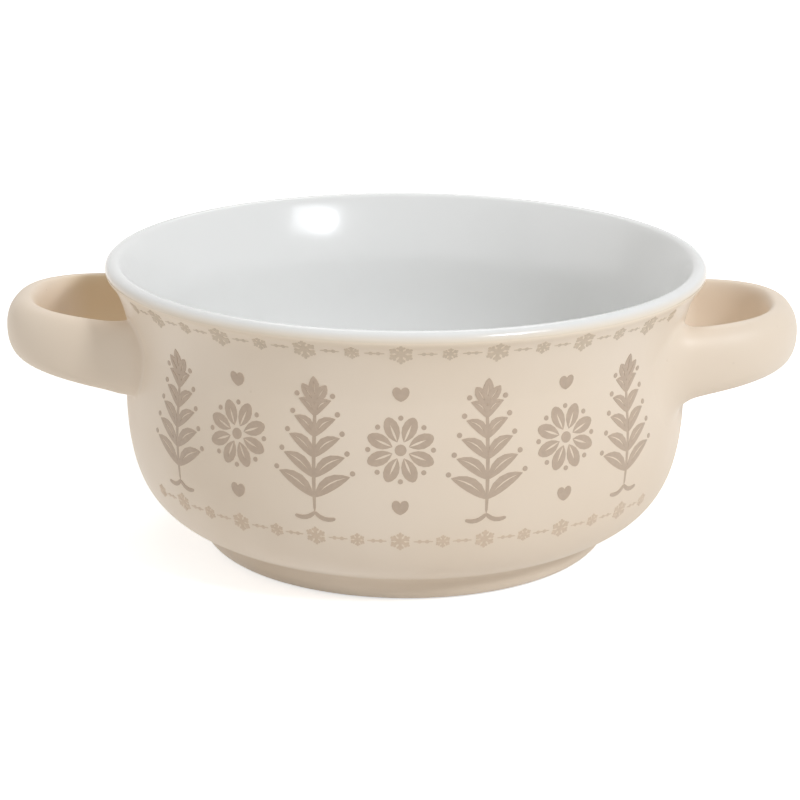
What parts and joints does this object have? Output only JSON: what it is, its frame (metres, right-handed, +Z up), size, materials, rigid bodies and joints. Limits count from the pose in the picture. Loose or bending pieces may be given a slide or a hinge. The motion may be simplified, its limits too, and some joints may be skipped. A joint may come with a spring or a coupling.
{
  "type": "soup bowl with two handles",
  "caption": "Round ceramic soup bowl with a drawn-in neck and flared rim on a turned foot, white glazed inside, with a loop strap handle on either side.",
  "frame": {"origin": "centre of the foot ring's resting plane, on the axis that the bowl is turned about", "axes": "+Z up along the turning axis, +X towards the right-hand handle, -Y towards the front"},
  "size_m": [0.1853, 0.14, 0.0681],
  "materials": {
    "cream_clay": "satin",
    "white_glaze": "gloss"
  },
  "bodies": {
    "root": {"bowl_body": "cream_clay", "liner_glaze": "white_glaze", "handle_left": "cream_clay", "handle_right": "cream_clay", "slip_left_front": "cream_clay", "slip_left_back": "cream_clay", "slip_right_front": "cream_clay", "slip_right_back": "cream_clay"}
  },
  "joints": []
}
